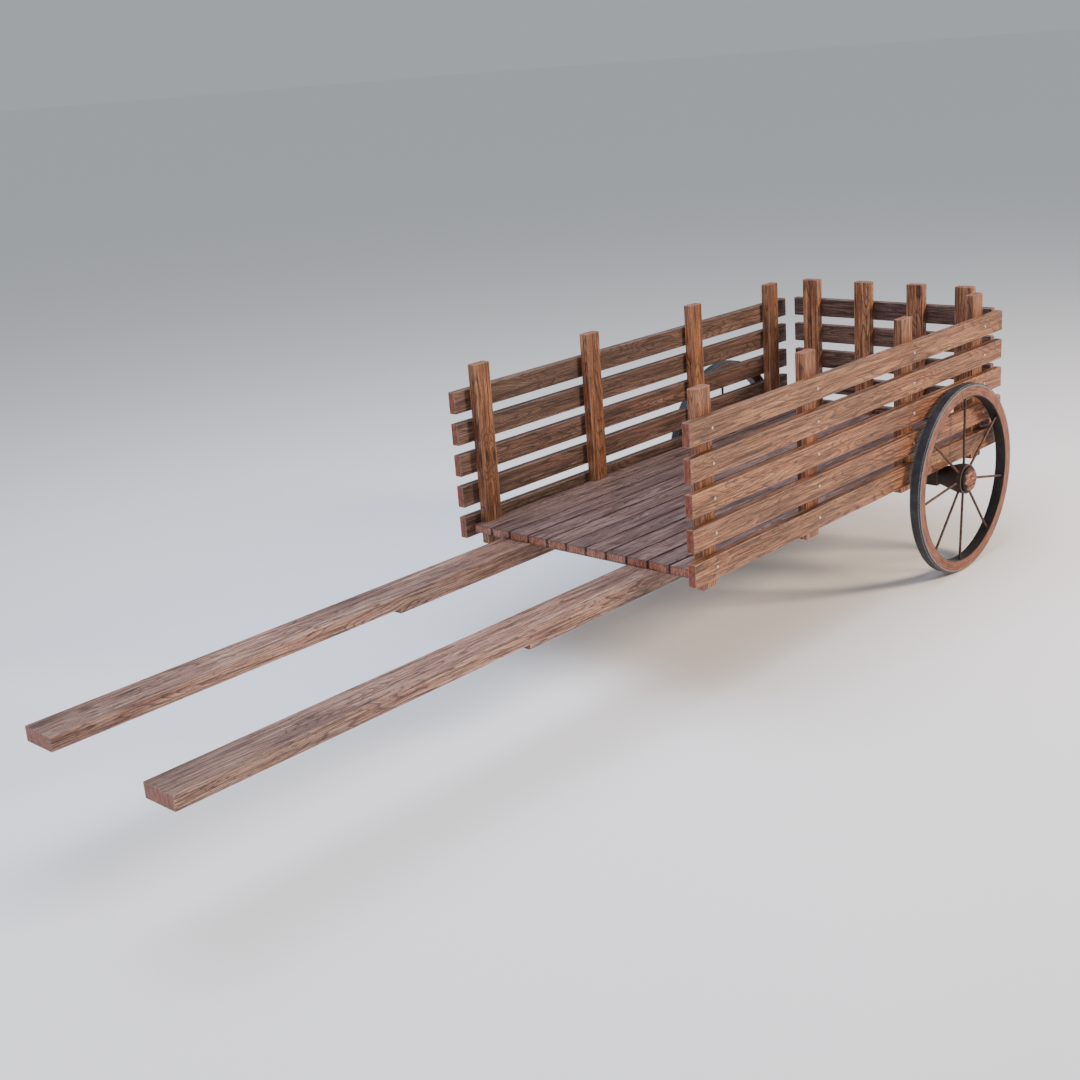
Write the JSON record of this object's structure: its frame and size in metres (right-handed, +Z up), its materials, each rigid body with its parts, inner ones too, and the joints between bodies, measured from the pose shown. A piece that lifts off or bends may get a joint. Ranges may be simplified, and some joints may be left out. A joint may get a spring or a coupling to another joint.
{
  "type": "two-wheeled wooden cart",
  "caption": "Two-wheeled wooden hand cart with slatted sides, an open front, a plank deck, long straight shafts and iron-tyred spoked wheels.",
  "frame": {"origin": "on the ground, under the centre of the whole cart's box", "axes": "+X forwards to the shaft tips, +Y to the cart's left, +Z up"},
  "size_m": [4.36, 1.344, 1.16],
  "materials": {
    "deck_wood": "oiled reddish hardwood planks",
    "side_wood": "oiled reddish hardwood",
    "shaft_wood": "oiled reddish hardwood",
    "frame_wood": "dark rough-sawn hardwood",
    "rim_wood": "bent hardwood, oiled",
    "hub_wood": "turned hardwood",
    "tyre_iron": "dark worn iron",
    "spoke_iron": "rusty dark iron rod",
    "axle_iron": "forged iron",
    "nail_steel": "bright galvanised round heads"
  },
  "bodies": {
    "cart": {"axle_bar": "axle_iron", "axle_beam": "frame_wood", "axle_fixings": "axle_iron", "cross_bearer_1": "frame_wood", "cross_bearer_2": "frame_wood", "cross_bearer_3": "frame_wood", "cross_bearer_4": "frame_wood", "deck_board_01": "deck_wood", "deck_board_02": "deck_wood", "deck_board_03": "deck_wood", "deck_board_04": "deck_wood", "deck_board_05": "deck_wood", "deck_board_06": "deck_wood", "deck_board_07": "deck_wood", "deck_board_08": "deck_wood", "deck_board_09": "deck_wood", "deck_board_10": "deck_wood", "deck_board_11": "deck_wood", "left_post_1": "side_wood", "left_post_2": "side_wood", "left_post_3": "side_wood", "left_post_4": "side_wood", "left_slat_1": "side_wood", "left_slat_2": "side_wood", "left_slat_3": "side_wood", "left_slat_4": "side_wood", "left_slat_5": "side_wood", "right_post_1": "side_wood", "right_post_2": "side_wood", "right_post_3": "side_wood", "right_post_4": "side_wood", "right_slat_1": "side_wood", "right_slat_2": "side_wood", "right_slat_3": "side_wood", "right_slat_4": "side_wood", "right_slat_5": "side_wood", "shaft_left": "shaft_wood", "shaft_right": "shaft_wood", "slat_nails": "nail_steel", "tail_post_1": "side_wood", "tail_post_2": "side_wood", "tail_post_3": "side_wood", "tail_post_4": "side_wood", "tail_slat_1": "side_wood", "tail_slat_2": "side_wood", "tail_slat_3": "side_wood", "tail_slat_4": "side_wood", "tail_slat_5": "side_wood"},
    "left_wheel": {"left_tyre": "tyre_iron", "left_rim": "rim_wood", "left_inner_hoop": "tyre_iron", "left_spokes": "spoke_iron", "left_hub": "hub_wood", "left_hub_cap": "hub_wood"},
    "right_wheel": {"right_tyre": "tyre_iron", "right_rim": "rim_wood", "right_inner_hoop": "tyre_iron", "right_spokes": "spoke_iron", "right_hub": "hub_wood", "right_hub_cap": "hub_wood"}
  },
  "joints": [
    {"name": "left_wheel_spin", "type": "hinge", "parent": "cart", "child": "left_wheel", "pos_m": [-1.6835, 0.63, 0.412], "axis": [0, 1, 0], "continuous": true},
    {"name": "right_wheel_spin", "type": "hinge", "parent": "cart", "child": "right_wheel", "pos_m": [-1.6835, -0.63, 0.412], "axis": [0, 1, 0], "continuous": true}
  ]
}
